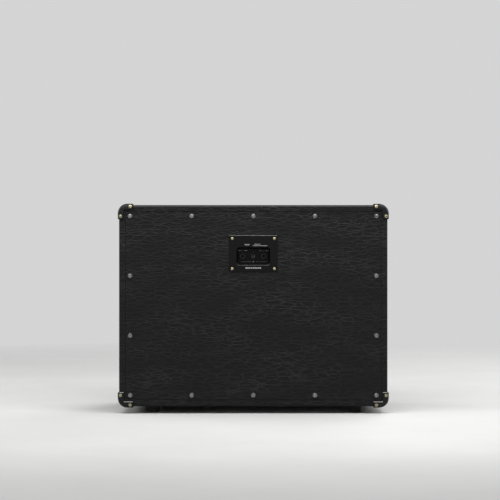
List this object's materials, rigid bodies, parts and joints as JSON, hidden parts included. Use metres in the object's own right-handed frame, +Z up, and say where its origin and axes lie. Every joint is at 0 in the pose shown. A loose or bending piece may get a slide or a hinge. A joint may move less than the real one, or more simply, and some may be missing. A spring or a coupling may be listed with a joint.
{
  "type": "guitar speaker cabinet",
  "caption": "Closed-back guitar speaker cabinet in black covering: inset screwed rear panel, recessed jack plate, corner protectors, side handles and drivers behind a cloth grille.",
  "frame": {"origin": "on the floor under the middle of the cabinet", "axes": "+X right seen from the front, +Y towards the rear panel, +Z up"},
  "size_m": [0.687, 0.3078, 0.5315],
  "materials": {
    "plywood": "sawn birch plywood",
    "pine": "planed pine",
    "vinyl": "coarse grained black covering",
    "grille_cloth": "woven, stretched",
    "piping": "satin",
    "corner_plastic": "satin moulding",
    "handle_plastic": "satin moulding",
    "rubber": "matt",
    "brass_screw": "aged brass plate",
    "nickel": "bright nickel plate",
    "black_screw": "black oxide",
    "zinc": "zinc plate",
    "plate_paint": "matt black",
    "jack_plastic": "satin",
    "contact_metal": "tinned",
    "terminal": "tinned tags on a strip",
    "wire": "insulated",
    "gasket": "matt",
    "basket_paint": "black powder coat",
    "motor_steel": "zinc plate",
    "ferrite": "ground ferrite",
    "cone_paper": "pressed paper",
    "coil": "wound wire on a former",
    "surround_cloth": "doped cloth"
  },
  "bodies": {
    "cabinet": {"top_board": "plywood", "bottom_board": "plywood", "left_side_board": "plywood", "right_side_board": "plywood", "baffle_board": "plywood", "back_board": "plywood", "baffle_battens": "pine", "back_battens": "pine", "centre_post": "pine", "cabinet_vinyl": "vinyl", "back_panel_vinyl": "vinyl", "grille_cloth": "grille_cloth", "grille_piping": "piping", "rear_corners": "corner_plastic", "front_corners": "corner_plastic", "left_handle": "handle_plastic", "right_handle": "handle_plastic", "rubber_feet": "rubber", "corner_screws": "brass_screw", "jack_plate_screws": "brass_screw", "back_panel_screws": "nickel", "back_panel_washers": "nickel", "handle_screws": "black_screw", "switch_screws": "black_screw", "baffle_screws": "zinc", "foot_washers": "zinc", "foot_screws": "zinc", "driver_bolts": "zinc", "driver_tee_nuts": "zinc", "jack_plate": "plate_paint", "left_jack": "jack_plastic", "right_jack": "jack_plastic", "jack_nuts": "jack_plastic", "switch_body": "jack_plastic", "jack_lugs": "contact_metal", "driver_terminals": "terminal", "speaker_wires": "wire", "driver_gaskets": "gasket", "left_basket": "basket_paint", "right_basket": "basket_paint", "left_top_plate": "motor_steel", "right_top_plate": "motor_steel", "left_yoke": "motor_steel", "right_yoke": "motor_steel", "left_magnet": "ferrite", "right_magnet": "ferrite", "left_surround": "surround_cloth", "right_surround": "surround_cloth", "left_spider": "surround_cloth", "right_spider": "surround_cloth"},
    "left_cone_unit": {"left_cone": "cone_paper", "left_dust_cap": "cone_paper", "left_voice_coil": "coil"},
    "right_cone_unit": {"right_cone": "cone_paper", "right_dust_cap": "cone_paper", "right_voice_coil": "coil"},
    "left_tip_contact": {"left_jack_tip_spring": "contact_metal"},
    "right_tip_contact": {"right_jack_tip_spring": "contact_metal"},
    "slider": {"switch_slider": "jack_plastic"}
  },
  "joints": [
    {"name": "left_cone_stroke", "type": "slide", "parent": "cabinet", "child": "left_cone_unit", "axis": [0, -1, 0], "range_m": [-0.003, 0.003], "stiffness_N_per_m": 9000, "deforming": ["left_surround", "left_spider"]},
    {"name": "right_cone_stroke", "type": "slide", "parent": "cabinet", "child": "right_cone_unit", "axis": [0, -1, 0], "range_m": [-0.003, 0.003], "stiffness_N_per_m": 9000, "deforming": ["right_surround", "right_spider"]},
    {"name": "left_tip_contact_lift", "type": "hinge", "parent": "cabinet", "child": "left_tip_contact", "pos_m": [-0.027, 0.099, 0.40525], "axis": [1, 0, 0], "range_deg": [0, 6], "stiffness_Nm_per_rad": 0.05},
    {"name": "right_tip_contact_lift", "type": "hinge", "parent": "cabinet", "child": "right_tip_contact", "pos_m": [0.027, 0.099, 0.40525], "axis": [1, 0, 0], "range_deg": [0, 6], "stiffness_Nm_per_rad": 0.05},
    {"name": "switch_slide", "type": "slide", "parent": "cabinet", "child": "slider", "axis": [0, 0, 1], "range_m": [0, 0.004]}
  ]
}
